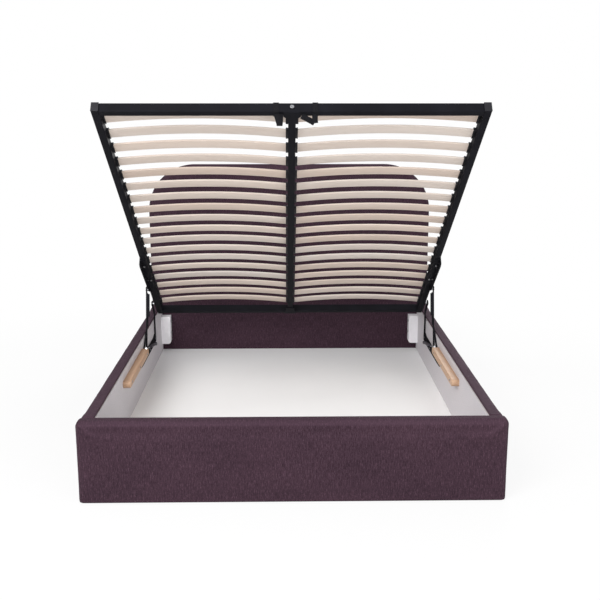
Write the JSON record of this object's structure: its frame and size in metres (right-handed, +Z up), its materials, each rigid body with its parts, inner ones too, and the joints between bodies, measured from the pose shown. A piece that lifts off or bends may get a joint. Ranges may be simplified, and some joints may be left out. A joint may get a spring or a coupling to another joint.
{
  "type": "upholstered storage bed",
  "caption": "Upholstered ottoman bed with a round-cornered headboard and a slatted platform that lifts on gas struts over a storage space.",
  "frame": {"origin": "on the ground under the middle of the footprint", "axes": "+X across the bed to the right seen from the foot, +Y from the foot panel to the headboard, +Z up"},
  "size_m": [1.752, 2.2, 1.6029],
  "materials": {
    "upholstery": "ribbed chenille",
    "board": "raw board",
    "lining": "woven lining",
    "white_block": "satin",
    "white_panel": "white laminate",
    "beech": "oiled",
    "birch": "satin veneer",
    "black_steel": "powder coat",
    "zinc": "zinc plate",
    "grey_steel": "satin paint",
    "rod_chrome": "polished",
    "black_plastic": "matt",
    "webbing": "woven webbing"
  },
  "bodies": {
    "base": {"foot_cover": "upholstery", "foot_core": "board", "foot_lining": "lining", "left_rail_cover": "upholstery", "right_rail_cover": "upholstery", "left_rail_core": "board", "right_rail_core": "board", "left_lining": "lining", "right_lining": "lining", "headboard_cover": "upholstery", "headboard_core": "board", "headboard_back": "upholstery", "left_head_block": "white_block", "right_head_block": "white_block", "left_foot_block": "board", "right_foot_block": "board", "frame_bolts": "zinc", "glides": "black_plastic", "left_floor_panel": "white_panel", "right_floor_panel": "white_panel", "left_ledger": "board", "right_ledger": "board", "floor_support": "board", "support_legs": "black_plastic", "left_batten": "beech", "right_batten": "beech", "rail_screws": "zinc", "left_lower_bracket": "black_steel", "right_lower_bracket": "black_steel", "ground_pins": "zinc"},
    "front_arms": {"left_front_arm": "black_steel", "right_front_arm": "black_steel"},
    "platform": {"left_side_tube": "black_steel", "right_side_tube": "black_steel", "foot_tube": "black_steel", "head_tube": "black_steel", "centre_beam": "black_steel", "foot_tee_plate": "black_steel", "head_tee_plate": "black_steel", "tube_caps": "black_plastic", "beam_bolts": "zinc", "left_upper_bracket": "black_steel", "right_upper_bracket": "black_steel", "platform_pins": "zinc", "left_slats": "birch", "right_slats": "birch", "left_outer_holders": "black_plastic", "left_inner_holders": "black_plastic", "right_outer_holders": "black_plastic", "right_inner_holders": "black_plastic", "pull_strap": "webbing"},
    "rear_arms": {"left_rear_arm": "black_steel", "right_rear_arm": "black_steel", "rear_arm_pins": "zinc"},
    "strut_cylinders": {"left_gas_cylinder": "grey_steel", "right_gas_cylinder": "grey_steel"},
    "strut_rods": {"left_gas_rod": "rod_chrome", "right_gas_rod": "rod_chrome", "rod_pins": "zinc"}
  },
  "joints": [
    {"name": "front_arm_hinge", "type": "hinge", "parent": "base", "child": "front_arms", "pos_m": [0, 0.3065, 0.235], "axis": [-1, 0, 0], "range_deg": [0, 64.66], "stiffness_Nm_per_rad": 59, "springref_deg": -137.51},
    {"name": "platform_hinge", "type": "hinge", "parent": "front_arms", "child": "platform", "pos_m": [0, 0.38473, 0.58245], "axis": [1, 0, 0], "range_deg": [0, 101.16]},
    {"name": "rear_arm_hinge", "type": "hinge", "parent": "base", "child": "rear_arms", "pos_m": [0, 0.64809, 0.228], "axis": [-1, 0, 0], "range_deg": [0, 86.78]},
    {"name": "strut_hinge", "type": "hinge", "parent": "base", "child": "strut_cylinders", "pos_m": [0, 0.5821, 0.215], "axis": [-1, 0, 0], "range_deg": [0, 12.93]},
    {"name": "strut_slide", "type": "slide", "parent": "strut_cylinders", "child": "strut_rods", "axis": [0, 0.9817, -0.1903], "range_m": [0, 0.07549]}
  ],
  "couplings": [
    {"joint": "platform_hinge", "follows": "front_arm_hinge", "ratio": 1.5645},
    {"joint": "rear_arm_hinge", "follows": "front_arm_hinge", "ratio": 1.3421},
    {"joint": "strut_hinge", "follows": "front_arm_hinge", "ratio": 0.2},
    {"joint": "strut_slide", "follows": "front_arm_hinge", "m_per_rad": 0.06688}
  ]
}
